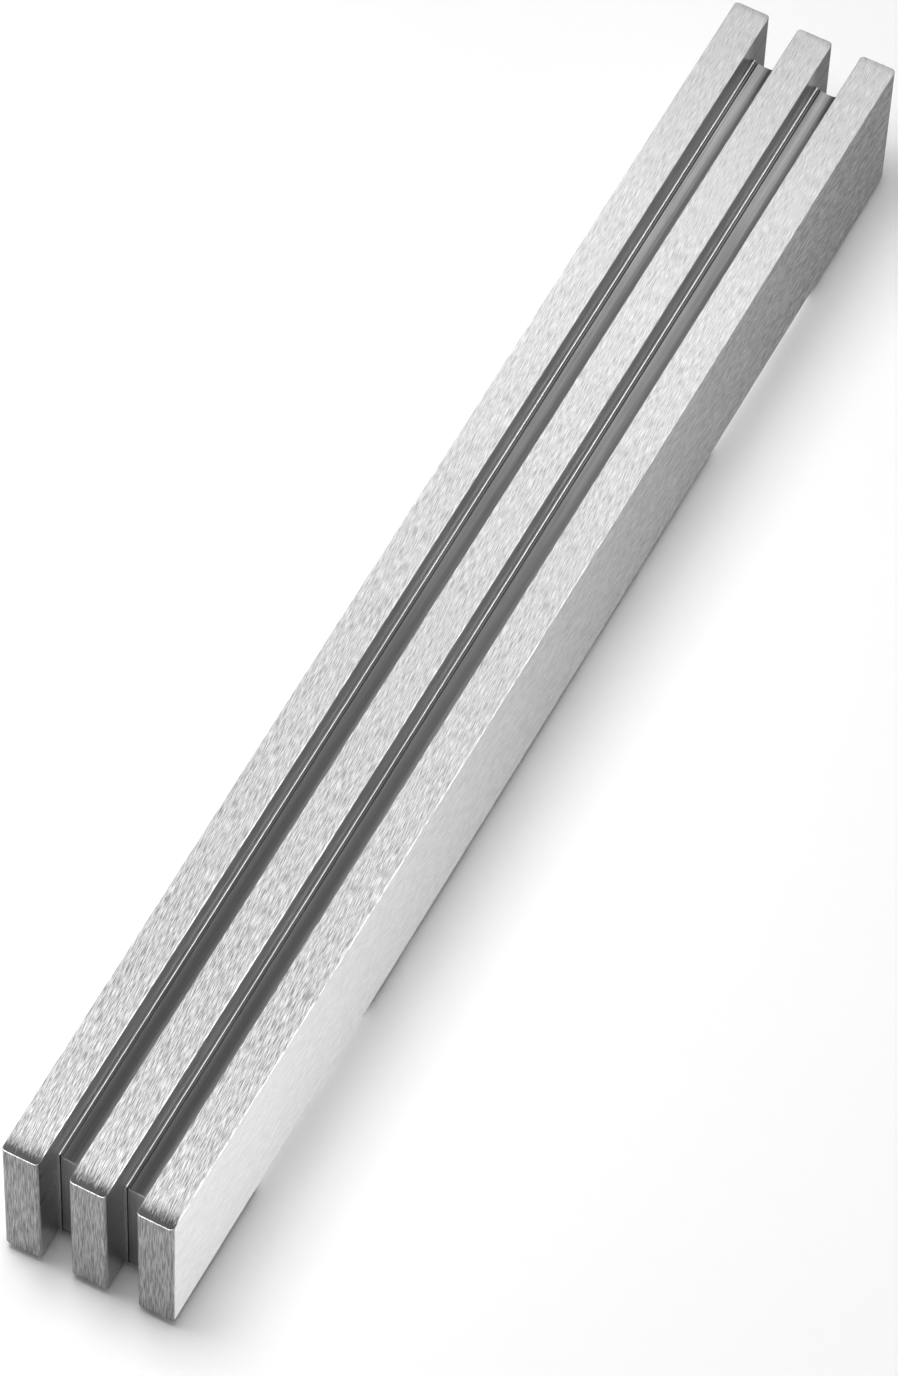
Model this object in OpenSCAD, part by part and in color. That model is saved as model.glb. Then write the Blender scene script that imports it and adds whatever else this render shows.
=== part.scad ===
// Magnetic knife rack. Three hollow brushed-steel bars stand on edge side by side, and two
// channels between them hold rows of magnets, so that the bars' front edges grip the blades.
// Two keyhole plates across the back tie the bars together and hang the rack on a wall.
//
// Millimetres. The rack lies on its back: X runs along the bars, from the left end to the
// right end of the rack as it hangs, +Y is its upper side, and +Z is where its knife face
// looks. The origin is the middle of the back face of the two hanger plates.

/* [Bars] */
// Length of the bars
rack_len = 410; // [300:1:820]
// Depth of a bar, from its back edge to the knife face
bar_h = 49; // [40:0.2:70]
// Thickness of a bar
bar_t = 10.5; // [8.5:0.05:16]
// Clear gap between two bars, which a channel fills
gap_w = 8.75; // [6:0.05:16]
// Sheet thickness of a bar
bar_wall = 1.2; // [0.8:0.1:1.6]
// Rounding of the long edges of the knife face
front_edge_r = 0.5; // [0.2:0.1:0.8]
// Rounding of the long edges at the back
back_edge_r = 1; // [0.2:0.1:1.2]

/* [Bar end caps] */
// Thickness of the plate that closes the end of a bar
cap_t = 1.5; // [1:0.1:3]
// Rounding of the upright corners of a cap
cap_corner_r = 1.2; // [0.2:0.1:1.4]
// Rounding of the front and back edges of a cap
cap_edge_r = 0.5; // [0.2:0.1:1]
// Reach of the locating tongue into the bar
tongue_len = 6; // [3:0.5:12]
// Gap round the tongue
tongue_fit = 0.1; // [0.05:0.05:0.3]

/* [Magnet channels] */
// Distance from the end of the bars to the end of a channel
end_inset = 9.6; // [4:0.1:20]
// Distance from the knife face down to the edges of the legs of a channel
front_recess = 8.8; // [4:0.1:12]
// Sheet thickness of a channel
channel_wall = 0.8; // [0.5:0.1:1.2]
// Outside rounding of the two bends of a channel, at its back
bend_r = 0.8; // [0.3:0.1:1]
// Thickness of the strip that covers the magnets, between the legs
cover_t = 1.2; // [0.8:0.1:2]
// Distance from the edges of the legs down to the face of the cover strip
cover_sink = 0.3; // [0.1:0.1:1]
// Length of the plug in each end of a channel
plug_len = 8; // [4:0.5:15]
// Distance from the end of a channel to the faces of its plug and cover strip
plug_set_back = 0.3; // [0.1:0.1:2]
// Gap between a leg of the channel and a plug or cover strip inside it
channel_fit = 0.05; // [0.02:0.01:0.2]

/* [Magnets] */
// Magnets in one channel
magnet_count = 7; // [3:1:10]
// Height of a magnet
magnet_h = 18; // [10:0.5:22]
// Gap between a magnet and a leg of the channel
magnet_fit = 0.075; // [0.025:0.025:0.3]
// Gap between the top of the magnets and the cover strip
magnet_top_gap = 0.2; // [0.1:0.1:1]
// Gap at each end of a magnet in its pocket, and of the carrier between its plugs
pocket_fit = 0.2; // [0.1:0.1:1]
// Thickness of the uprights between the pockets of a carrier
rib_t = 2.4; // [1.2:0.1:5]
// Thickness of the shelf that the magnets stand on
shelf_t = 3; // [1.5:0.1:5]

/* [Hanger plates] */
// Distance from the end of the bars to the middle of a plate
hanger_inset = 75; // [60:1:110]
// Length of a plate along the rack
plate_len = 64; // [58:1:90]
// Thickness of a plate
plate_t = 2; // [1.8:0.1:4]
// Distance from the side of the rack in to the edge of a plate
plate_margin = 1; // [0.2:0.1:1.2]
// Rounding of the corners of a plate
plate_corner_r = 4; // [1:0.5:4.5]
// Width of the slot of a keyhole, for the shank of a wall screw
key_slot_w = 4.2; // [3.5:0.1:4.5]
// Distance that the rack slides along a wall screw
key_travel = 9; // [6:0.5:11]
// Gap between the round part of a keyhole and the walls inside the middle bar
key_fit = 0.15; // [0.05:0.05:0.5]

/* [Plate screws] */
// Thread diameter
screw_d = 2.9; // [2.5:0.1:3.2]
// Length from the face of the head to the tip
screw_len = 8; // [7:0.5:12]
// Diameter of the countersunk head
head_d = 5.6; // [5:0.1:6]
// Height of the straight rim of the head
head_rim = 0.25; // [0.1:0.05:0.4]
// Size of the hexagon socket, across its flats
socket_af = 2; // [1.5:0.5:2]
// Depth of the hexagon socket
socket_depth = 1.1; // [0.5:0.1:1.2]
// Distance between the two rows of screws of a plate
screw_pitch = 46; // [44:0.5:48]
// Length of a nut block
block_len = 12; // [8:0.5:14]
// Thickness of a nut block
block_t = 4; // [3:0.5:5]
// Gap on each side of a nut block inside its bar
block_fit = 0.1; // [0.05:0.05:0.3]
// Gap round a screw in its nut block
thread_fit = 0.05; // [0.02:0.01:0.1]
// Gap round a screw in a plate or in the wall of a bar
hole_fit = 0.25; // [0.1:0.05:0.5]

/* [Hidden] */
$fn = 48;
cut = 1;               // how far a cutting shape runs past the surface that it opens

// Places across the rack
pitch = bar_t + gap_w;
rack_w = 3 * bar_t + 2 * gap_w;
function bar_y(bar) = (1 - bar) * pitch;
function channel_y(channel) = (0.5 - channel) * pitch;

// Places from the back of the plates forwards
bar_z = plate_t;                                // the bars' back edges
channel_h = bar_h - front_recess;
web_top_z = bar_z + channel_wall;               // the inside of a channel's web
cover_z = bar_z + channel_h - cover_sink - cover_t;
magnet_z = cover_z - magnet_top_gap - magnet_h; // the top of the carriers' shelves

// A bar's inside, and what slides into it
bar_in_w = bar_t - 2 * bar_wall;
bar_in_h = bar_h - 2 * bar_wall;
shell_len = rack_len - 2 * cap_t;
block_w = bar_in_w - 2 * block_fit;

// A channel's inside, and what fills it
channel_len = rack_len - 2 * end_inset;
channel_in_w = gap_w - 2 * channel_wall;
filler_w = channel_in_w - 2 * channel_fit;
magnet_w = channel_in_w - 2 * magnet_fit;
chamber_len = channel_len - 2 * (plug_set_back + plug_len);
carrier_len = chamber_len - 2 * pocket_fit;
magnet_pitch = (carrier_len - rib_t) / magnet_count;
magnet_len = magnet_pitch - rib_t - 2 * pocket_fit;

// The keyholes and the windows behind them
plate_w = rack_w - 2 * plate_margin;
hanger_x = rack_len / 2 - hanger_inset;
key_d = bar_in_w - 2 * key_fit;
hole_d = screw_d + 2 * hole_fit;
cone_h = (head_d - screw_d) / 2;

BARS = ["top", "middle", "bottom"];
CHANNELS = ["upper", "lower"];
ENDS = ["left", "right"];
MAGNETS = [1:magnet_count];

// Stands an outline drawn in Y and Z upright, and runs it len along X, centred
module along_x(len) {
    rotate([90, 0, 90])
        linear_extrude(len, center = true)
            children();
}

// A box centred on X and Y that stands on z = 0
module block(size) {
    translate([-size[0] / 2, -size[1] / 2, 0])
        cube(size);
}

// Puts a piece made for the right end at the left end when end is 0
module at_end(end) {
    mirror([end == 0 ? 1 : 0, 0, 0])
        children();
}

// Puts the children at the middle of one hanger plate
module at_hanger(end) {
    translate([end == 0 ? -hanger_x : hanger_x, 0, 0])
        children();
}

// Puts the children at each screw of one hanger plate: two rows of three, one on each bar
module at_screws() {
    for (bar = [0:2])
        for (row = [-0.5, 0.5])
            translate([row * screw_pitch, bar_y(bar), 0])
                children();
}

// A rectangle on y = 0 with its two lower corners rounded by low_r and its two upper by high_r,
// each of which may be 0 for square corners
module rounded_outline(w, h, low_r, high_r) {
    translate([-w / 2, low_r])
        square([w, h - low_r - high_r]);
    for (corner = [[low_r, low_r], [high_r, h - high_r]])
        if (corner[0] > 0) {
            translate([-w / 2 + corner[0], corner[1] - corner[0]])
                square([w - 2 * corner[0], 2 * corner[0]]);
            for (side = [-1, 1])
                translate([side * (w / 2 - corner[0]), corner[1]])
                    circle(corner[0]);
        }
}

module bar_outline() {
    rounded_outline(bar_t, bar_h, back_edge_r, front_edge_r);
}

// Thin-walled closed tube of one bar, with the holes of the plate screws in its back wall
module bar_shell(bar) {
    color("#c8c9ca")
    difference() {
        translate([0, bar_y(bar), bar_z])
            along_x(shell_len)
                bar_outline();
        translate([0, bar_y(bar), bar_z + bar_wall])
            block([shell_len + 2 * cut, bar_in_w, bar_in_h]);
        for (end = [0, 1])
            at_hanger(end) {
                for (row = [-0.5, 0.5])
                    translate([row * screw_pitch, bar_y(bar), bar_z - cut])
                        cylinder(d = hole_d, h = bar_wall + 2 * cut);
                if (bar == 1) key_window();
            }
    }
}

// Room behind a keyhole for the head of a wall screw, over its whole travel
module key_window() {
    translate([-key_d / 2 - key_fit, -key_d / 2, bar_z - cut])
        cube([key_travel + key_d + 2 * key_fit, key_d, bar_wall + 2 * cut]);
}

// End plate of a bar, ground flush with the tube, and the tongue that locates it
module bar_cap(bar, end) {
    color("#b9babb")
    at_end(end)
        translate([rack_len / 2 - cap_t, bar_y(bar), bar_z]) {
            intersection() {
                translate([cap_t / 2, 0, 0])
                    along_x(cap_t)
                        bar_outline();
                linear_extrude(bar_h)
                    rotate(-90)
                        rounded_outline(bar_t, cap_t, 0, cap_corner_r);
                translate([0, bar_t / 2, bar_h / 2])
                    rotate([90, 0, 0])
                        linear_extrude(bar_t)
                            rotate(-90)
                                rounded_outline(bar_h, cap_t, 0, cap_edge_r);
            }
            translate([-tongue_len, tongue_fit - bar_in_w / 2, bar_wall + tongue_fit])
                cube([tongue_len, bar_in_w - 2 * tongue_fit, bar_in_h - 2 * tongue_fit]);
        }
}

// Folded sheet between two bars: a web at the back and two legs that reach to the front
module channel(channel) {
    color("#9fa1a3")
    difference() {
        translate([0, channel_y(channel), bar_z])
            along_x(channel_len)
                rounded_outline(gap_w, channel_h, bend_r, 0);
        translate([0, channel_y(channel), web_top_z])
            block([channel_len + 2 * cut, channel_in_w, channel_h]);
    }
}

// Block that closes the end of a channel under the cover strip
module plug(channel, end) {
    plug_x = channel_len / 2 - plug_set_back - plug_len / 2;
    color("#6f7173")
    at_end(end)
        translate([plug_x, channel_y(channel), web_top_z])
            block([plug_len, filler_w, cover_z - web_top_z]);
}

// Moulded comb that stands on the web, carries the cover strip and holds the magnets up to it
module magnet_carrier(channel) {
    color("#2b2d30")
    translate([0, channel_y(channel), 0]) {
        translate([0, 0, magnet_z - shelf_t])
            block([carrier_len, magnet_w, shelf_t]);
        for (i = [0:magnet_count])
            translate([i * magnet_pitch - (carrier_len - rib_t) / 2, 0, web_top_z])
                block([rib_t, magnet_w, cover_z - web_top_z]);
    }
}

// Ferrite block magnet i, magnetised across the rack
module magnet(channel, i) {
    magnet_x = (i - (magnet_count + 1) / 2) * magnet_pitch;
    color("#3d3a38")
    translate([magnet_x, channel_y(channel), magnet_z])
        block([magnet_len, magnet_w, magnet_h]);
}

// Flat strip between the legs that covers the magnets and both plugs
module cover_strip(channel) {
    color("#77797b")
    translate([0, channel_y(channel), cover_z])
        block([channel_len - 2 * plug_set_back, filler_w, cover_t]);
}

// Plate across the three bars, with a keyhole that slides sideways onto a wall screw
module hanger_plate(end) {
    color("#b0b2b4")
    at_hanger(end)
        difference() {
            linear_extrude(plate_t)
                translate([0, -plate_w / 2])
                    rounded_outline(plate_len, plate_w, plate_corner_r, plate_corner_r);
            translate([0, 0, -cut])
                cylinder(d = key_d, h = plate_t + 2 * cut);
            translate([key_travel, 0, -cut])
                cylinder(d = key_slot_w, h = plate_t + 2 * cut);
            translate([0, -key_slot_w / 2, -cut])
                cube([key_travel, key_slot_w, plate_t + 2 * cut]);
            at_screws() {
                translate([0, 0, -cut])
                    cylinder(d = head_d + 2 * hole_fit, h = cut + head_rim);
                translate([0, 0, head_rim])
                    cylinder(d1 = head_d + 2 * hole_fit, d2 = hole_d, h = cone_h);
                translate([0, 0, -cut])
                    cylinder(d = hole_d, h = plate_t + 2 * cut);
            }
        }
}

// Countersunk socket screws of one plate, with the thread drawn as a plain cylinder
module plate_screws(end) {
    color("#d0d1d2")
    at_hanger(end)
        at_screws()
            difference() {
                union() {
                    cylinder(d = head_d, h = head_rim);
                    translate([0, 0, head_rim])
                        cylinder(d1 = head_d, d2 = screw_d, h = cone_h);
                    cylinder(d = screw_d, h = screw_len);
                }
                translate([0, 0, -cut])
                    cylinder(d = socket_af / cos(30), h = cut + socket_depth, $fn = 6);
            }
}

// Tapped blocks inside the bars that the screws of one plate pull up on
module nut_blocks(end) {
    color("#a5a6a8")
    at_hanger(end)
        at_screws()
            translate([0, 0, bar_z + bar_wall])
                difference() {
                    block([block_len, block_w, block_t]);
                    translate([0, 0, -cut])
                        cylinder(d = screw_d + 2 * thread_fit, h = block_t + 2 * cut);
                }
}

for (bar = [0:2]) {
    bar_shell(bar);
    for (end = [0, 1])
        bar_cap(bar, end);
}
for (c = [0, 1]) {
    channel(c);
    magnet_carrier(c);
    cover_strip(c);
    for (end = [0, 1])
        plug(c, end);
    for (i = MAGNETS)
        magnet(c, i);
}
for (end = [0, 1]) {
    hanger_plate(end);
    plate_screws(end);
    nut_blocks(end);
}
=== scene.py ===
from math import radians

import bmesh
import bpy
from bpy.props import FloatProperty, FloatVectorProperty, PointerProperty
from mathutils import Euler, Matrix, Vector


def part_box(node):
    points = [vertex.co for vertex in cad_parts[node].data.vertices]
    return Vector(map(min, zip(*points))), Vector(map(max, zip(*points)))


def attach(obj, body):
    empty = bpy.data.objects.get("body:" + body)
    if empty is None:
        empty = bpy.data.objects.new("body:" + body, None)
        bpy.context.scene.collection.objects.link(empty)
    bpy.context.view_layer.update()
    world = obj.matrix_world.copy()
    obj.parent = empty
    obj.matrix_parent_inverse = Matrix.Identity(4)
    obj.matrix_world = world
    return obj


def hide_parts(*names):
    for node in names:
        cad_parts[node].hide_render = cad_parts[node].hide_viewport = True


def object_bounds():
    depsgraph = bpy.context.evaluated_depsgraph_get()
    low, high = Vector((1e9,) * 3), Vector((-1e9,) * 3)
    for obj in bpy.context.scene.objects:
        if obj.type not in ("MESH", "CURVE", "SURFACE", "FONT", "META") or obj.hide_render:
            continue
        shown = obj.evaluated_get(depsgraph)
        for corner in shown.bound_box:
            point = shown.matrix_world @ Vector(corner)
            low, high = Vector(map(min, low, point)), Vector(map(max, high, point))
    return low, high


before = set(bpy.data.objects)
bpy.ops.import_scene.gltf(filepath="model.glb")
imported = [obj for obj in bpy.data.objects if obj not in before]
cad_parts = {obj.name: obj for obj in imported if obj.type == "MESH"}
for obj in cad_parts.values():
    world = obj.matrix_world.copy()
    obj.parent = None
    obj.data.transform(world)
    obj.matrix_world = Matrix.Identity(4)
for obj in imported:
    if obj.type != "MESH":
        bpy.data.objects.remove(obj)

bl_info = {
    "name": "Knife Rack Builder",
    "version": (1, 0, 0),
    "blender": (4, 5, 0),
    "location": "3D View > Sidebar > Knife Rack",
    "description": "Builds the bars, spacers, back parts and studio of a magnetic knife rack",
    "category": "Object",
}

CAD_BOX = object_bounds()
LEFT_END, RIGHT_END = CAD_BOX[0][0], CAD_BOX[1][0]
BODY = "root"
MM = 0.001
SAME_PLACE = 1e-6  # two points closer than this are the same place

BARS = ("top", "middle", "bottom")
SPACERS = ("upper", "lower")
ENDS = ("left", "right")
MAGNETS_IN_A_ROW = 7

# Segments in the arc of each kind of rounding, and in the two hollowed surfaces.
BURR_ARC, FRONT_ARC, BACK_ARC, BEND_ARC, CORNER_ARC = 3, 5, 6, 6, 8
DISH_STEPS, ROLL_OFF_STEPS = 6, 10
SHARPEST_ROUND = radians(35)  # faces that meet at more than this keep a crisp edge

# A piece's main finish is number 0. These are the others of a bar or cap, and a channel.
FLANK, SIDE, GROUND_END = 1, 2, 3
BRIGHT_EDGE, SHEARED_EDGE = 1, 2

FACE_DEPTH = 3 * MM  # the end grinding eases only this top layer of a bar
END_SHADE_BAND = 6.5 * MM  # the ragged band of painted shade at the left end of the bars
FAR_SHADE_SEEN, FAR_SHADE_FULL = 17 * MM, 9 * MM  # where the painted shade near the right end starts, and where it is full
BELT_FADE = 150 * MM  # brush marks change in strength this far each side of the middle

FLOOR_REACH = 4.0
FLOOR_GAP = 0.05 * MM  # keeps the floor and the back plates out of one plane


# ---------------------------------------------------------------------------
# Small helpers
# ---------------------------------------------------------------------------

def linear(hex_colour):
    """Turn an sRGB hex colour into the linear RGB that the shaders work in."""
    parts = [int(hex_colour[i:i + 2], 16) / 255 for i in (1, 3, 5)]
    return tuple(
        p / 12.92 if p <= 0.04045 else ((p + 0.055) / 1.055) ** 2.4 for p in parts
    )


def node_box(name):
    """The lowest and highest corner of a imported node, as vectors in metres."""
    low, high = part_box(name)
    return Vector(low), Vector(high)


def length_prop(name, description, millimetres):
    """A length in the sidebar, given here in millimetres."""
    return FloatProperty(
        name=name, description=description, default=millimetres * MM,
        min=0.0, unit="LENGTH", precision=5,
    )


def colour_prop(name, description, hex_colour):
    """A colour in the sidebar, given here as sRGB hex."""
    return FloatVectorProperty(
        name=name, description=description, default=linear(hex_colour),
        size=3, min=0.0, max=1.0, subtype="COLOR",
    )


# ---------------------------------------------------------------------------
# Sizes and colours a user would change
# ---------------------------------------------------------------------------

class RackSizes(bpy.types.PropertyGroup):
    """Edge rounding and small surface shape of the rack's pieces"""

    bar_wall: length_prop("Bar wall", "Wall thickness of the box tube", 1.2)
    front_round: length_prop("Front edge", "Rounding of a bar's long front edges", 0.3)
    back_round: length_prop("Back edge", "Rounding of a bar's long back edges", 1.0)
    left_run: length_prop("Left roll-off", "Length that grinding eases at the left", 5.5)
    left_drop: length_prop("Left drop", "Fall of the front face at the left end", 0.4)
    right_run: length_prop("Right roll-off", "Length that grinding eases at the right", 2.0)
    right_drop: length_prop("Right drop", "Fall of the front face at the right end", 0.1)
    dish: length_prop("Strip dish", "How far the middle of a cover strip is sunk", 0.4)
    key_width: length_prop("Key window", "Width of the hanger windows in the back", 7.8)
    key_travel: length_prop("Key travel", "Slide of a wall screw along its slot", 9.0)
    key_fit: length_prop("Key fit", "Gap at each end of a window", 0.15)
    cap_round: length_prop("Cap corner", "Rounding of a cap's upright corners", 1.2)
    tongue: length_prop("Tongue", "How far a cap's tongue reaches into the bar", 6.0)
    tongue_fit: length_prop("Tongue fit", "Gap round the tongue", 0.1)
    sheet: length_prop("Channel sheet", "Thickness of the spacer's sheet", 0.8)
    sheet_bend: length_prop("Channel bend", "Outside radius of the sheet's bends", 0.8)
    burr: length_prop("Deburred edge", "Small edge break on sheet parts", 0.2)
    bead: length_prop("Strip bead", "Width of the raised edge of a cover strip", 0.45)
    bead_step: length_prop("Bead step", "Depth of the line beside the bead", 0.25)


class RackColours(bpy.types.PropertyGroup):
    """Base colours of the rack's finishes"""

    bar: colour_prop("Brushed bar", "Ferritic stainless, brushed lengthwise", "#A4A4A4")
    bar_dark: colour_prop("Brush marks", "Deeper brush marks of the bars", "#505050")
    # Painted shade: the outer sides are the same steel as the front, given a darker colour.
    side: colour_prop("Bar side", "Finely brushed outer sides, darkened as painted shade", "#868686")
    # Painted shade: the dark colour of the ragged band at the left end of the bar fronts.
    painted_end_shade: colour_prop("End band", "Ragged band of painted shade at the left end", "#303030")
    # Painted shade: darkens the bar flanks over the last 17 mm at the right end.
    far_end_shade: colour_prop("Far-end shade", "Painted shade beside the right caps", "#4C4C4C")
    flank: colour_prop("Bar flank", "Mill finish of the bars inside the grooves", "#A8A8A8")
    cap: colour_prop("Cap face", "End-ground stainless of the caps", "#B0B0B0")
    cap_dark: colour_prop("Cap marks", "Deeper grinding marks of the caps", "#6E6E6E")
    channel: colour_prop("Channel sheet", "Cold-rolled sheet of the spacers", "#787878")
    sheared: colour_prop("Sheared edge", "Flat crest of the spacer sheet", "#8C8C8C")
    # Painted highlight: near-white colour for the inward round of each channel lip.
    edge_highlight: colour_prop("Edge highlight", "Painted highlight on the spacer sheet's inner lip", "#E2E2E2")
    strip: colour_prop("Cover strip", "Dark strip that closes a spacer", "#727272")
    plug: colour_prop("End plug", "Block that closes a spacer's end", "#7C7C7C")
    plate: colour_prop("Back plate", "Mill-finish hanger plate", "#AEAEAE")
    screw: colour_prop("Screw steel", "Machined screws and nut blocks", "#C2C2C2")
    ferrite: colour_prop("Ferrite", "Sintered magnet", "#3A3836")
    nylon: colour_prop("Nylon", "Moulded magnet carrier", "#202022")
    paper: colour_prop("Floor", "Studio paper under the rack", "#F4F4F4")


class RackStudio(bpy.types.PropertyGroup):
    """Camera and light of the studio"""

    lens: FloatProperty(
        name="Lens", description="Focal length on a 36 mm sensor",
        default=207.56, min=20.0, unit="CAMERA",
    )
    camera_place: FloatVectorProperty(
        name="Camera place", description="Where the camera stands",
        default=(-1.0276, -0.4842, 1.7864), size=3, unit="LENGTH", precision=4,
    )
    camera_turn: FloatVectorProperty(
        name="Camera turn", description="Which way the camera faces",
        default=(radians(32.427), radians(-1.473), radians(-62.259)),
        size=3, subtype="EULER", precision=4,
    )
    room: FloatProperty(
        name="Room light", description="Brightness of the white room",
        default=0.3, min=0.0,
    )


# ---------------------------------------------------------------------------
# Mesh helpers
# ---------------------------------------------------------------------------

def block(low, high):
    """A closed box between two corners."""
    bm = bmesh.new()
    bmesh.ops.create_cube(bm, size=1.0)
    bmesh.ops.scale(bm, vec=high - low, verts=bm.verts)
    bmesh.ops.translate(bm, vec=(low + high) / 2, verts=bm.verts)
    bm.normal_update()
    return bm


def edges_along(bm, axis, wanted=lambda middle: True):
    """The edges that run along one axis and whose middle is wanted."""
    found = []
    for edge in bm.edges:
        run = edge.verts[1].co - edge.verts[0].co
        if run.length > 0 and abs(run[axis]) > 0.999 * run.length:
            if wanted((edge.verts[0].co + edge.verts[1].co) / 2):
                found.append(edge)
    return found


def round_edges(bm, edges, radius, segments):
    """Round edges with an arc of that radius."""
    bmesh.ops.bevel(
        bm, geom=edges, offset=radius, offset_type="OFFSET", segments=segments,
        profile=0.5, affect="EDGES", clamp_overlap=True, material=-1,
    )
    bm.normal_update()


def cut_across(bm, axis, places):
    """Add a loop of edges across the mesh at each place on the axis."""
    normal = Vector((0, 0, 0))
    normal[axis] = 1
    for place in places:
        geom = bm.verts[:] + bm.edges[:] + bm.faces[:]
        bmesh.ops.bisect_plane(
            bm, geom=geom, dist=1e-7, plane_co=normal * place, plane_no=normal,
        )
    bm.normal_update()


def join_into(bm, other):
    """Add another mesh to this one, and free it."""
    passing = bpy.data.meshes.new("passing")
    other.to_mesh(passing)
    other.free()
    bm.from_mesh(passing)
    bpy.data.meshes.remove(passing)
    bm.normal_update()


def piece_from(name, bm, finishes, replaced):
    """Make the finished piece: broad faces stay flat and only the rounds shade smooth."""
    mesh = bpy.data.meshes.new(name)
    bm.to_mesh(mesh)
    bm.free()
    for finish in finishes:
        mesh.materials.append(finish)
    mesh.shade_smooth()
    mesh.set_sharp_from_angle(angle=SHARPEST_ROUND)
    piece = bpy.data.objects.new(name, mesh)
    bpy.context.scene.collection.objects.link(piece)
    weighted = piece.modifiers.new("broad_faces_flat", "WEIGHTED_NORMAL")
    weighted.keep_sharp = True
    weighted.weight = 100
    depsgraph = bpy.context.evaluated_depsgraph_get()
    settled = bpy.data.meshes.new_from_object(
        piece.evaluated_get(depsgraph), preserve_all_data_layers=True, depsgraph=depsgraph,
    )
    piece.modifiers.clear()
    piece.data = settled
    bpy.data.meshes.remove(mesh)
    settled.name = name
    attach(piece, BODY)
    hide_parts(replaced)
    return piece


# ---------------------------------------------------------------------------
# Materials
# ---------------------------------------------------------------------------

def add(tree, kind, inputs=None, **settings):
    """Add a node with its settings. An input is a value, or the socket that feeds it."""
    made = tree.nodes.new(kind)
    for name, value in settings.items():
        setattr(made, name, value)
    for key, value in (inputs or {}).items():
        if isinstance(value, bpy.types.NodeSocket):
            tree.links.new(value, made.inputs[key])
        else:
            made.inputs[key].default_value = value
    return made


def empty_material(name):
    """A material with nothing in its node tree yet."""
    material = bpy.data.materials.new(name)
    material.use_nodes = True
    material.node_tree.nodes.clear()
    return material, material.node_tree


def rgba(colour):
    """A colour with full alpha."""
    return (colour[0], colour[1], colour[2], 1.0)


def marks(tree, length, width, along, lean=0.0, detail=2.0, roughness=0.5, shift=0.0):
    """Noise drawn out along one axis: marks of a real length and width in metres.

    Lean turns their run a few degrees off that axis, in the plane of the knife face.
    """
    stretch = [1 / width] * 3
    stretch[along] = 1 / length
    place = add(tree, "ShaderNodeTexCoord")
    turned = add(
        tree, "ShaderNodeMapping",
        {"Vector": place.outputs["Object"], "Rotation": (0, 0, radians(lean))},
    )
    drawn = add(
        tree, "ShaderNodeMapping",
        {"Vector": turned.outputs[0], "Location": (shift, shift, shift),
         "Scale": stretch},
    )
    noise = add(
        tree, "ShaderNodeTexNoise",
        {"Vector": drawn.outputs[0], "Scale": 1.0, "Detail": detail,
         "Roughness": roughness},
    )
    return noise.outputs["Fac"]


def ramp(tree, value, start, end, low=0.0, high=1.0):
    """Stretch a value from one range to another, held at both ends."""
    made = add(
        tree, "ShaderNodeMapRange",
        {"Value": value, "From Min": start, "From Max": end, "To Min": low, "To Max": high},
        clamp=True,
    )
    return made.outputs[0]


def product(tree, first, second):
    """Multiply two values."""
    return add(
        tree, "ShaderNodeMath", {0: first, 1: second}, operation="MULTIPLY",
    ).outputs[0]


def total(tree, first, second):
    """Add two values, held between nought and one."""
    return add(
        tree, "ShaderNodeMath", {0: first, 1: second}, operation="ADD", use_clamp=True,
    ).outputs[0]


def blend(tree, amount, first, second):
    """Go from the first colour to the second. The first may be the socket of another."""
    start = first if isinstance(first, bpy.types.NodeSocket) else rgba(first)
    return add(
        tree, "ShaderNodeMix", {0: amount, 6: start, 7: rgba(second)}, data_type="RGBA",
    ).outputs[2]


def along_rack(tree):
    """The distance along the rack from its middle, in metres."""
    place = add(tree, "ShaderNodeTexCoord")
    return add(tree, "ShaderNodeSeparateXYZ", {0: place.outputs["Object"]}).outputs[0]


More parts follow.
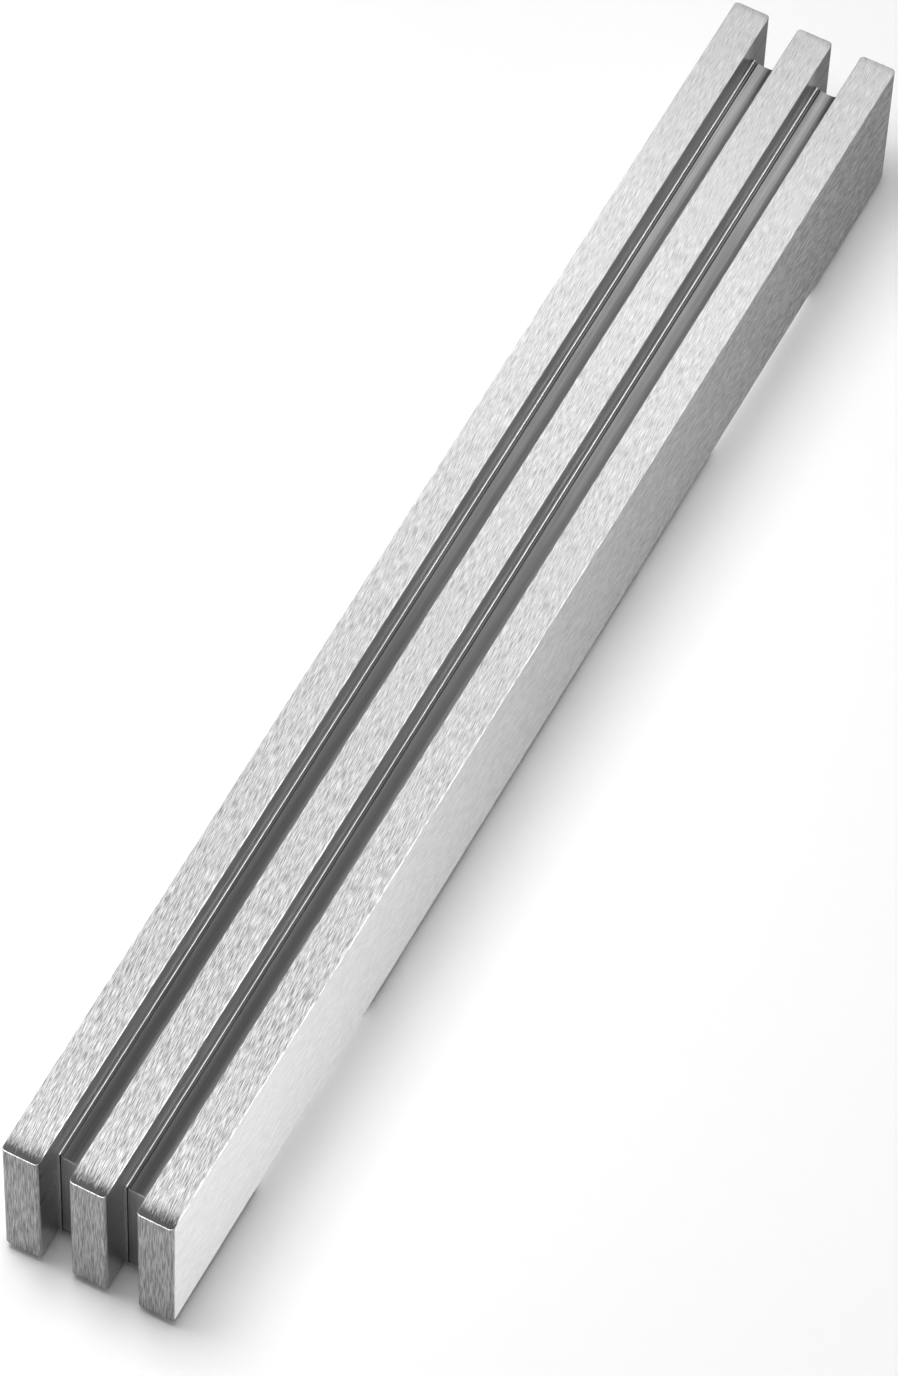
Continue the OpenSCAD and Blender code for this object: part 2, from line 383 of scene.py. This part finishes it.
def brushed_steel(name, colour, dark, along, lean, rough, spread, mark_length,
                  mark_width, contrast, near_contrast, bump_depth, tangent_axis,
                  painted_end_shade=None):
    """Ferritic stainless steel, brushed one way with an abrasive belt.

    The belt leaves short scratches side by side. They spread a reflection across their
    run and hold it tight along it, and now and then one bites deeper and looks darker.
    How much they show goes from near_contrast at the left end to contrast at the right.
    The last colour, if given, adds a ragged band of painted shade at the left end, standing
    in for the darker room that the rolled-off end face reflects.
    Real scratches are under 0.1 mm wide. They are drawn 0.2 to 0.3 mm wide, to be seen.
    """
    material, tree = empty_material(name)
    distance = along_rack(tree)
    grain = marks(tree, mark_length, mark_width, along, lean, 2.0, 0.6)
    bite = marks(tree, mark_length * 1.5, mark_width * 1.2, along, lean, 2.0, 0.6, 7.3)
    cloud = marks(tree, 0.025, 0.006, along, lean, 2.0, 0.5, 11.7)
    fine = ramp(tree, grain, 0.36, 0.64)
    deep = ramp(tree, bite, 0.54, 0.7, 0.0, 0.45)
    strength = ramp(tree, distance, -BELT_FADE, BELT_FADE, near_contrast, contrast)
    scratched = product(tree, total(tree, fine, deep), strength)
    shade = total(tree, scratched, ramp(tree, cloud, 0.35, 0.7, 0.0, 0.03))
    base = blend(tree, shade, colour, dark)
    # Painted shade: a ragged dark band over the last millimetres of the left end.
    if painted_end_shade:
        edge = ramp(tree, distance, LEFT_END + END_SHADE_BAND, LEFT_END)
        ragged = ramp(tree, marks(tree, 0.003, 0.0004, 0, lean, 3.0, 0.7, 2.9), 0.3, 0.6)
        band = total(tree, product(tree, edge, edge), product(tree, edge, ragged))
        base = blend(tree, band, base, painted_end_shade)
    roughness = ramp(tree, shade, 0.0, 1.0, rough - 0.05, rough + 0.1)
    bump = add(
        tree, "ShaderNodeBump", {"Height": grain, "Strength": 1.0, "Distance": bump_depth},
    )
    across = add(
        tree, "ShaderNodeTangent", direction_type="RADIAL", axis=tangent_axis,
    )
    shader = add(
        tree, "ShaderNodeBsdfPrincipled",
        {"Base Color": base, "Metallic": 1.0, "Roughness": roughness,
         "Anisotropic": spread, "Tangent": across.outputs[0], "Normal": bump.outputs[0]},
    )
    add(tree, "ShaderNodeOutputMaterial", {"Surface": shader.outputs[0]})
    return material


def drawn_steel(name, colour, rough, along, line_width, contrast, bump_depth,
                far_end_shade=None):
    """Cold-rolled stainless sheet, left as it comes off the rolls and drawn through a die.

    Long faint lines run with the draw, and the face between them is smooth and quiet.
    The last colour, if given, is painted shade near the right end, where shade falls
    between the bars. There the sheet turns that colour and stops being metal to the eye:
    it scatters a little light and hardly mirrors any.
    """
    material, tree = empty_material(name)
    lines = marks(tree, 0.08, line_width, along, 0.0, 2.0, 0.6)
    haze = marks(tree, 0.03, 0.004, along, 0.0, 3.0, 0.6, 5.1)
    tone = total(tree, ramp(tree, lines, 0.3, 0.7, 0.0, contrast),
                 ramp(tree, haze, 0.35, 0.7, 0.0, contrast * 0.6))
    darker = tuple(part * 0.55 for part in colour)
    base = blend(tree, tone, colour, darker)
    bare = 1.0
    # Painted shade near the right end: a darker colour, and metal fading to none.
    if far_end_shade:
        distance = along_rack(tree)
        seen, full = RIGHT_END - FAR_SHADE_SEEN, RIGHT_END - FAR_SHADE_FULL
        base = blend(tree, ramp(tree, distance, seen, full), base, far_end_shade)
        bare = ramp(tree, distance, seen, full, 1.0, 0.0)
    roughness = ramp(tree, tone, 0.0, 1.0, rough - 0.04, rough + 0.12)
    bump = add(
        tree, "ShaderNodeBump", {"Height": lines, "Strength": 1.0, "Distance": bump_depth},
    )
    shader = add(
        tree, "ShaderNodeBsdfPrincipled",
        {"Base Color": base, "Metallic": bare, "Roughness": roughness,
         "Specular IOR Level": 0.1, "Normal": bump.outputs[0]},
    )
    add(tree, "ShaderNodeOutputMaterial", {"Surface": shader.outputs[0]})
    return material


def dull_solid(name, colour, rough, grain_size, contrast, bump_depth):
    """Sintered or moulded stock with an even, fine-grained skin."""
    material, tree = empty_material(name)
    grain = marks(tree, grain_size, grain_size, 0, 0.0, 4.0, 0.6)
    tone = ramp(tree, grain, 0.35, 0.7, 0.0, contrast)
    lighter = tuple(min(1.0, part * 1.9) for part in colour)
    base = blend(tree, tone, colour, lighter)
    roughness = ramp(tree, grain, 0.3, 0.7, rough - 0.08, rough + 0.1)
    bump = add(
        tree, "ShaderNodeBump", {"Height": grain, "Strength": 1.0, "Distance": bump_depth},
    )
    shader = add(
        tree, "ShaderNodeBsdfPrincipled",
        {"Base Color": base, "Roughness": roughness, "Normal": bump.outputs[0]},
    )
    add(tree, "ShaderNodeOutputMaterial", {"Surface": shader.outputs[0]})
    return material


def seamless_paper(name, colour):
    """White background paper: matt, with a faint fibre tooth far too fine to cast shade."""
    material, tree = empty_material(name)
    tooth = marks(tree, 0.004, 0.004, 0, 0.0, 3.0, 0.6)
    roughness = ramp(tree, tooth, 0.3, 0.7, 0.85, 0.95)
    shader = add(
        tree, "ShaderNodeBsdfPrincipled",
        {"Base Color": rgba(colour), "Roughness": roughness, "Specular IOR Level": 0.1},
    )
    add(tree, "ShaderNodeOutputMaterial", {"Surface": shader.outputs[0]})
    return material


def finish(name):
    """Fetch one of the rack's finishes, made the first time it is asked for."""
    made = bpy.data.materials.get(name)
    if made:
        return made
    colours = bpy.context.scene.rack_colours
    if name == "bar_steel_brushed_with_painted_end_shade":
        return brushed_steel(
            name, colours.bar, colours.bar_dark, along=0, lean=-5.0, rough=0.46,
            spread=0.85, mark_length=0.0038, mark_width=0.0002, contrast=0.45,
            near_contrast=1.0, bump_depth=0.000008, tangent_axis="X", painted_end_shade=colours.painted_end_shade,
        )
    if name == "bar_side_brushed_fine_painted_shade":
        return brushed_steel(
            name, colours.side, colours.bar_dark, along=0, lean=0.0, rough=0.46,
            spread=0.85, mark_length=0.003, mark_width=0.0003, contrast=1.0,
            near_contrast=0.4, bump_depth=0.000006, tangent_axis="X",
        )
    if name == "bar_flank_mill_finish_with_painted_shade":
        return drawn_steel(name, colours.flank, 0.3, 0, 0.0005, 0.3, 0.000003,
                           colours.far_end_shade)
    if name == "cap_steel_ground_upright":
        return brushed_steel(
            name, colours.cap, colours.cap_dark, along=2, lean=0.0, rough=0.44,
            spread=0.8, mark_length=0.006, mark_width=0.00022, contrast=0.6,
            near_contrast=1.0, bump_depth=0.00001, tangent_axis="Z",
        )
    if name == "channel_sheet_cold_rolled":
        return drawn_steel(name, colours.channel, 0.34, 0, 0.0005, 0.5, 0.000004)
    if name == "channel_edge_painted_highlight":
        return drawn_steel(name, colours.edge_highlight, 0.3, 0, 0.0003, 0.35, 0.000004)
    if name == "channel_edge_sheared":
        return drawn_steel(name, colours.sheared, 0.4, 0, 0.0005, 0.4, 0.000004)
    if name == "cover_strip_dark_rolled":
        return drawn_steel(name, colours.strip, 0.34, 0, 0.0005, 0.5, 0.000004)
    if name == "plug_steel_sawn":
        return drawn_steel(name, colours.plug, 0.3, 2, 0.0006, 0.5, 0.000004)
    if name == "plate_steel_mill_finish":
        return drawn_steel(name, colours.plate, 0.38, 0, 0.0008, 0.5, 0.000008)
    if name == "screw_steel_machined":
        return drawn_steel(name, colours.screw, 0.24, 2, 0.0004, 0.35, 0.000004)
    if name == "magnet_ferrite_sintered":
        return dull_solid(name, colours.ferrite, 0.62, 0.0012, 0.6, 0.00002)
    if name == "carrier_nylon_moulded":
        return dull_solid(name, colours.nylon, 0.5, 0.0015, 0.4, 0.00001)
    if name == "studio_paper_white":
        return seamless_paper(name, colours.paper)
    raise ValueError(f"no finish is called {name}")


def dress(node, name):
    """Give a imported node, whose shape stays, its finish."""
    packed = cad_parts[node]
    for slot in packed.material_slots:
        slot.material = finish(name)
    if not packed.material_slots:
        packed.data.materials.append(finish(name))


# ---------------------------------------------------------------------------
# Pieces
# ---------------------------------------------------------------------------

def ease_ends(bm, half_length, sizes, front, mirrored=False):
    """Roll the front face down over the last few millimetres, as end grinding does."""
    for vert in bm.verts:
        at_left = (vert.co.x < 0) != mirrored
        run, drop = ((sizes.left_run, sizes.left_drop) if at_left
                     else (sizes.right_run, sizes.right_drop))
        into = abs(vert.co.x) - (half_length - run)
        if into > 0 and vert.co.z > front - FACE_DEPTH:
            vert.co.z -= drop * (into / run) ** 2


def mark_flanks(bm, low, high):
    """Give a bar's two sides their own finishes, apart from the coarse brushed front.

    The belt can't reach into a groove, and the outer sides got a finer one. The outer sides'
    finish also has a darker colour than the front, painted shade for the less light they
    get, and the groove finish carries painted shade near the right end.
    """
    rack_edge = CAD_BOX[1][1] - MM
    for face in bm.faces:
        if abs(face.normal.y) > 0.9:
            side = high.y if face.normal.y > 0 else low.y
            face.material_index = FLANK if abs(side) < rack_edge else SIDE


def open_window(bm, low, high, wall):
    """Open a window through the back wall of a tube, and line its edge."""
    cut_across(bm, 0, (low.x, high.x))
    cut_across(bm, 1, (low.y, high.y))
    inside = []
    for face in bm.faces:
        middle = face.calc_center_median()
        if abs(face.normal.z) > 0.9 and middle.z < low.z + wall * 1.5:
            if low.x < middle.x < high.x and low.y < middle.y < high.y:
                inside.append(face)
    bmesh.ops.delete(bm, geom=inside, context="FACES")
    rim = [e for e in bm.edges if e.is_boundary
           and low.x - SAME_PLACE <= e.verts[0].co.x <= high.x + SAME_PLACE
           and low.x - SAME_PLACE <= e.verts[1].co.x <= high.x + SAME_PLACE]
    bmesh.ops.bridge_loops(bm, edges=rim)


class RACK_OT_bar_shells(bpy.types.Operator):
    """Build the three box-tube bars that hold the knives"""

    bl_idname = "rack.bar_shells"
    bl_label = "Bar Shells"

    def execute(self, context):
        sizes = context.scene.rack_sizes
        half_length = RIGHT_END
        for bar in BARS:
            name = f"{bar}_bar_shell"
            low, high = node_box(name)
            middle_z = (low.z + high.z) / 2
            bm = block(low, high)
            ends = [f for f in bm.faces if abs(f.normal.x) > 0.5]
            bmesh.ops.delete(bm, geom=ends, context="FACES_ONLY")
            round_edges(bm, edges_along(bm, 0, lambda m: m.z > middle_z),
                        sizes.front_round, FRONT_ARC)
            round_edges(bm, edges_along(bm, 0, lambda m: m.z < low.z + SAME_PLACE),
                        sizes.back_round, BACK_ARC)
            inner_end = half_length - max(sizes.left_run, sizes.right_run)
            gap = (high.x - inner_end) / ROLL_OFF_STEPS
            spots = [inner_end + gap * step for step in range(ROLL_OFF_STEPS)]
            cut_across(bm, 0, spots + [-spot for spot in spots])
            ease_ends(bm, half_length, sizes, high.z)
            wall = Vector((0, sizes.bar_wall, sizes.bar_wall))
            inner = block(low + wall, high - wall)
            ends = [f for f in inner.faces if abs(f.normal.x) > 0.5]
            bmesh.ops.delete(inner, geom=ends, context="FACES_ONLY")
            bmesh.ops.reverse_faces(inner, faces=inner.faces[:])
            join_into(bm, inner)
            for end in (low.x, high.x):
                rim = [e for e in bm.edges if e.is_boundary
                       and abs(e.verts[0].co.x - end) < SAME_PLACE
                       and abs(e.verts[1].co.x - end) < SAME_PLACE]
                bmesh.ops.bridge_loops(bm, edges=rim)
            if bar == "middle":
                for hanger in ENDS:
                    plate_low, plate_high = node_box(f"{hanger}_hanger_plate")
                    place = (plate_low.x + plate_high.x) / 2
                    half = sizes.key_width / 2
                    start = Vector((place - half - sizes.key_fit, -half, low.z))
                    stop = Vector((place + half + sizes.key_fit + sizes.key_travel, half,
                                   low.z))
                    open_window(bm, start, stop, sizes.bar_wall)
            bmesh.ops.recalc_face_normals(bm, faces=bm.faces[:])
            mark_flanks(bm, low, high)
            piece_from(f"{bar}_bar_tube", bm,
                       [finish("bar_steel_brushed_with_painted_end_shade"),
                        finish("bar_flank_mill_finish_with_painted_shade"),
                        finish("bar_side_brushed_fine_painted_shade")],
                       name)
        return {"FINISHED"}


class RACK_OT_bar_caps(bpy.types.Operator):
    """Build the six end caps, each with a plate and a tongue inside the bar"""

    bl_idname = "rack.bar_caps"
    bl_label = "Bar Caps"

    def execute(self, context):
        sizes = context.scene.rack_sizes
        half_length = RIGHT_END
        for bar in BARS:
            shell_low, shell_high = node_box(f"{bar}_bar_shell")
            for end in ENDS:
                name = f"{bar}_bar_{end}_cap"
                side = -1 if node_box(name)[0].x < 0 else 1
                seam = shell_high.x
                low = Vector((seam, shell_low.y, shell_low.z))
                high = Vector((half_length, shell_high.y, shell_high.z))
                top = high.z
                bm = block(low, high)
                upright = edges_along(bm, 2, lambda m: m.x > seam + SAME_PLACE)
                round_edges(bm, upright, sizes.cap_round, CORNER_ARC)
                for level, radius, segments in (
                    (top, sizes.front_round, FRONT_ARC),
                    (low.z, sizes.back_round, BACK_ARC),
                ):
                    outline = [e for e in bm.edges
                               if all(abs(v.co.z - level) < SAME_PLACE for v in e.verts)
                               and any(v.co.x > seam + SAME_PLACE for v in e.verts)]
                    round_edges(bm, outline, radius, segments)
                ease_ends(bm, half_length, sizes, top, side < 0)
                mark_flanks(bm, low, high)
                for face in bm.faces:
                    outward, upward = face.normal.x, face.normal.z
                    if outward > 0.3:
                        face.material_index = GROUND_END
                    # The round between a right cap's end and its front takes the flank
                    # finish, so the painted shade near the right end darkens it into a thin
                    # dark rim.
                    if side > 0 and 0.25 < outward < 0.95 and upward > 0.25:
                        face.material_index = FLANK
                inside = Vector((0, 1, 1)) * (sizes.bar_wall + sizes.tongue_fit)
                tongue = block(low + inside - Vector((sizes.tongue, 0, 0)),
                               Vector((seam, high.y - inside.y, high.z - inside.z)))
                join_into(bm, tongue)
                if side < 0:
                    bmesh.ops.scale(bm, vec=(-1, 1, 1), verts=bm.verts)
                    bmesh.ops.reverse_faces(bm, faces=bm.faces[:])
                bm.normal_update()
                piece_from(f"{bar}_bar_{end}_end", bm,
                           [finish("bar_steel_brushed_with_painted_end_shade"),
                            finish("bar_flank_mill_finish_with_painted_shade"),
                            finish("bar_side_brushed_fine_painted_shade"),
                            finish("cap_steel_ground_upright")],
                           name)
        return {"FINISHED"}


class RACK_OT_channels(bpy.types.Operator):
    """Build the two folded sheet channels that space the bars"""

    bl_idname = "rack.channels"
    bl_label = "Spacer Channels"

    def execute(self, context):
        sizes = context.scene.rack_sizes
        for spacer in SPACERS:
            name = f"{spacer}_channel"
            low, high = node_box(name)
            bm = block(low, high)
            open_faces = [f for f in bm.faces
                          if f.normal.z > 0.5 or abs(f.normal.x) > 0.5]
            bmesh.ops.delete(bm, geom=open_faces, context="FACES_ONLY")
            round_edges(bm, edges_along(bm, 0, lambda m: m.z < low.z + SAME_PLACE),
                        sizes.sheet_bend, BEND_ARC)
            bmesh.ops.solidify(bm, geom=bm.faces[:], thickness=sizes.sheet)
            bmesh.ops.remove_doubles(bm, verts=bm.verts[:], dist=SAME_PLACE)
            bmesh.ops.dissolve_degenerate(bm, edges=bm.edges[:], dist=1e-7)
            bmesh.ops.recalc_face_normals(bm, faces=bm.faces[:])
            top = high.z
            lips = edges_along(bm, 0, lambda m: m.z > top - SAME_PLACE)
            round_edges(bm, lips, sizes.burr, BURR_ARC)
            centre = (low.y + high.y) / 2
            for face in bm.faces:
                middle = face.calc_center_median()
                inward = face.normal.y * (centre - middle.y) > 0
                crest = face.normal.z > 0.1 and middle.z > top - sizes.burr * 1.1
                if crest or abs(face.normal.x) > 0.9:
                    # The inward-facing round of each lip takes the near-white painted
                    # highlight.
                    bright = inward and abs(face.normal.y) > 0.1
                    face.material_index = BRIGHT_EDGE if bright else SHEARED_EDGE
            piece_from(f"{spacer}_spacer_channel", bm,
                       [finish("channel_sheet_cold_rolled"),
                        finish("channel_edge_painted_highlight"),
                        finish("channel_edge_sheared")],
                       name)
        return {"FINISHED"}


class RACK_OT_cover_strips(bpy.types.Operator):
    """Build the dark strips that close the channels between the bars"""

    bl_idname = "rack.cover_strips"
    bl_label = "Cover Strips"

    def execute(self, context):
        sizes = context.scene.rack_sizes
        for spacer in SPACERS:
            name = f"{spacer}_cover_strip"
            low, high = node_box(name)
            bm = block(low, high)
            centre = (low.y + high.y) / 2
            half = (high.y - low.y) / 2
            bed = half - sizes.bead * 2
            groove = half - sizes.bead * 1.5
            offsets = [half - sizes.bead, groove, bed]
            offsets += [bed * step / DISH_STEPS for step in range(1, DISH_STEPS)]
            cut_across(bm, 1, [centre + o for o in offsets] + [centre - o for o in offsets])
            top = high.z
            for vert in bm.verts:
                off = abs(vert.co.y - centre)
                if vert.co.z > top - SAME_PLACE:
                    if abs(off - groove) < SAME_PLACE:
                        vert.co.z -= sizes.bead_step
                    elif off < bed:
                        vert.co.z -= sizes.dish * (1 - (off / bed) ** 2)
            rim = [e for e in bm.edges
                   if all(v.co.z > top - SAME_PLACE for v in e.verts)
                   and (all(abs(v.co.y - centre) > half - SAME_PLACE for v in e.verts)
                        or all(abs(v.co.x) > high.x - SAME_PLACE for v in e.verts))]
            round_edges(bm, rim, sizes.burr, BURR_ARC)
            piece_from(f"{spacer}_spacer_strip", bm, [finish("cover_strip_dark_rolled")],
                       name)
        return {"FINISHED"}


class RACK_OT_plugs(bpy.types.Operator):
    """Build the four blocks that close the ends of the channels"""

    bl_idname = "rack.plugs"
    bl_label = "End Plugs"

    def execute(self, context):
        sizes = context.scene.rack_sizes
        for spacer in SPACERS:
            for end in ENDS:
                name = f"{spacer}_{end}_plug"
                low, high = node_box(name)
                bm = block(low, high)
                round_edges(bm, bm.edges[:], sizes.burr, BURR_ARC)
                piece_from(f"{spacer}_{end}_end_block", bm, [finish("plug_steel_sawn")],
                           name)
        return {"FINISHED"}


class RACK_OT_magnets(bpy.types.Operator):
    """Finish the ferrite magnets and their carriers inside the channels"""

    bl_idname = "rack.magnets"
    bl_label = "Magnets and Carriers"

    def execute(self, context):
        for spacer in SPACERS:
            dress(f"{spacer}_magnet_carrier", "carrier_nylon_moulded")
            for number in range(1, MAGNETS_IN_A_ROW + 1):
                dress(f"{spacer}_magnet_{number}", "magnet_ferrite_sintered")
        return {"FINISHED"}


class RACK_OT_back_parts(bpy.types.Operator):
    """Finish the hanger plates, their screws and the nut blocks"""

    bl_idname = "rack.back_parts"
    bl_label = "Hanger Plates and Screws"

    def execute(self, context):
        for end in ENDS:
            dress(f"{end}_hanger_plate", "plate_steel_mill_finish")
            dress(f"{end}_plate_screws", "screw_steel_machined")
            dress(f"{end}_nut_blocks", "screw_steel_machined")
        return {"FINISHED"}


# Each light: name, where it hangs, the spot it faces, width, height, power in watts,
# and whether it is a card that only shows as a reflection in the metal. The others are
# screened from the metal and light only the paper, the plastics and the painted shade
# near the right end of the bar flanks.
LIGHTS = (
    ("overhead_lamp", (0, 0, 1.2), (0, 0, 0), 0.6, 0.6, 4.0, False),
    ("upper_lamp", (0, 0.6, 1.0), (0, 0, 0), 0.6, 0.6, 0.9, False),
    ("steep_lamp", (-0.1, 0.3, 1.15), (0, 0, 0), 0.5, 0.5, 7.6, False),
    ("upper_near_card", (-0.15, 0.5, 0.35), (-0.1, 0, 0.03), 0.4, 0.3, 9.5, True),
    ("upper_far_card", (0.3, 0.5, 0.35), (0.15, 0, 0.03), 0.4, 0.3, 3.9, True),
    ("lower_far_card", (0.35, -0.4, 0.5), (0.1, 0, 0.03), 0.4, 0.3, 1.85, True),
    ("lower_low_card", (0, -0.7, 0.3), (0, 0, 0.02), 0.4, 0.3, 11.2, True),
    ("lower_right_card", (0.3, -0.7, 0.3), (0.1, 0, 0.02), 0.4, 0.3, 2.9, True),
    ("lower_high_card", (0.3, -0.7, 0.8), (0, 0, 0), 0.6, 0.6, 5.3, True),
    ("far_end_card", (0.5, 0, 0.5), (0.15, 0, 0), 0.3, 0.3, 1.0, True),
    ("left_end_card", (-0.8, 0.1, 0.2), (-0.2, 0, 0.02), 0.4, 0.3, 11.0, True),
    ("lower_near_card", (0, -0.4, 0.15), (-0.1, 0, 0.02), 0.3, 0.15, 1.5, True),
)


class RACK_OT_studio(bpy.types.Operator):
    """Lay the paper floor, hang the soft lights and stand the camera"""

    bl_idname = "rack.studio"
    bl_label = "Studio"

    def execute(self, context):
        scene = context.scene
        studio = scene.rack_studio
        bm = bmesh.new()
        bmesh.ops.create_grid(bm, x_segments=1, y_segments=1, size=FLOOR_REACH)
        bmesh.ops.translate(bm, vec=(0, 0, -FLOOR_GAP), verts=bm.verts)
        mesh = bpy.data.meshes.new("paper_floor")
        bm.to_mesh(mesh)
        bm.free()
        mesh.materials.append(finish("studio_paper_white"))
        floor = bpy.data.objects.new("paper_floor", mesh)
        scene.collection.objects.link(floor)

        world = bpy.data.worlds.new("white_room")
        world.use_nodes = True
        world.node_tree.nodes.clear()
        room = add(world.node_tree, "ShaderNodeBackground",
                   {"Color": (1.0, 1.0, 1.0, 1.0), "Strength": studio.room})
        add(world.node_tree, "ShaderNodeOutputWorld", {"Surface": room.outputs[0]})
        scene.world = world

        for name, place, spot, width, height, power, card in LIGHTS:
            lamp = bpy.data.lights.new(name, "AREA")
            lamp.shape = "RECTANGLE"
            lamp.size = width
            lamp.size_y = height
            lamp.energy = power
            holder = bpy.data.objects.new(name, lamp)
            holder.location = place
            facing = Vector(spot) - Vector(place)
            holder.rotation_euler = facing.to_track_quat("-Z", "Y").to_euler()
            holder.visible_diffuse = not card
            holder.visible_glossy = card
            scene.collection.objects.link(holder)

        camera = bpy.data.cameras.new("studio_camera")
        camera.lens = studio.lens
        camera.sensor_width = 36.0
        camera.clip_start = 0.05
        camera.clip_end = 50.0
        stand = bpy.data.objects.new("studio_camera", camera)
        stand.location = studio.camera_place
        stand.rotation_euler = Euler(studio.camera_turn)
        scene.collection.objects.link(stand)
        scene.camera = stand
        scene.view_settings.view_transform = "Standard"
        return {"FINISHED"}


class RACK_PT_panel(bpy.types.Panel):
    """Sizes, colours and build steps of the knife rack"""

    bl_idname = "RACK_PT_panel"
    bl_label = "Knife Rack"
    bl_space_type = "VIEW_3D"
    bl_region_type = "UI"
    bl_category = "Knife Rack"

    def draw(self, context):
        layout = self.layout
        for title, group in (("Sizes", context.scene.rack_sizes),
                             ("Colours", context.scene.rack_colours),
                             ("Studio", context.scene.rack_studio)):
            box = layout.box()
            box.label(text=title)
            for name in group.__annotations__:
                box.prop(group, name)
        for step in STEPS:
            layout.operator(step.bl_idname)


GROUPS = (RackSizes, RackColours, RackStudio)
STEPS = (
    RACK_OT_bar_shells, RACK_OT_bar_caps, RACK_OT_channels, RACK_OT_cover_strips,
    RACK_OT_plugs, RACK_OT_magnets, RACK_OT_back_parts, RACK_OT_studio,
)


def register():
    """Add the property groups, build steps and panel to Blender."""
    for cls in GROUPS + STEPS + (RACK_PT_panel,):
        bpy.utils.register_class(cls)
    bpy.types.Scene.rack_sizes = PointerProperty(type=RackSizes)
    bpy.types.Scene.rack_colours = PointerProperty(type=RackColours)
    bpy.types.Scene.rack_studio = PointerProperty(type=RackStudio)


def unregister():
    """Take them out again, in the opposite order."""
    del bpy.types.Scene.rack_studio
    del bpy.types.Scene.rack_colours
    del bpy.types.Scene.rack_sizes
    for cls in reversed(GROUPS + STEPS + (RACK_PT_panel,)):
        bpy.utils.unregister_class(cls)


def main():
    """Build the rack and its studio step by step."""
    register()
    bpy.ops.rack.bar_shells()
    bpy.ops.rack.bar_caps()
    bpy.ops.rack.channels()
    bpy.ops.rack.cover_strips()
    bpy.ops.rack.plugs()
    bpy.ops.rack.magnets()
    bpy.ops.rack.back_parts()
    bpy.ops.rack.studio()


if __name__ == "__main__":
    main()
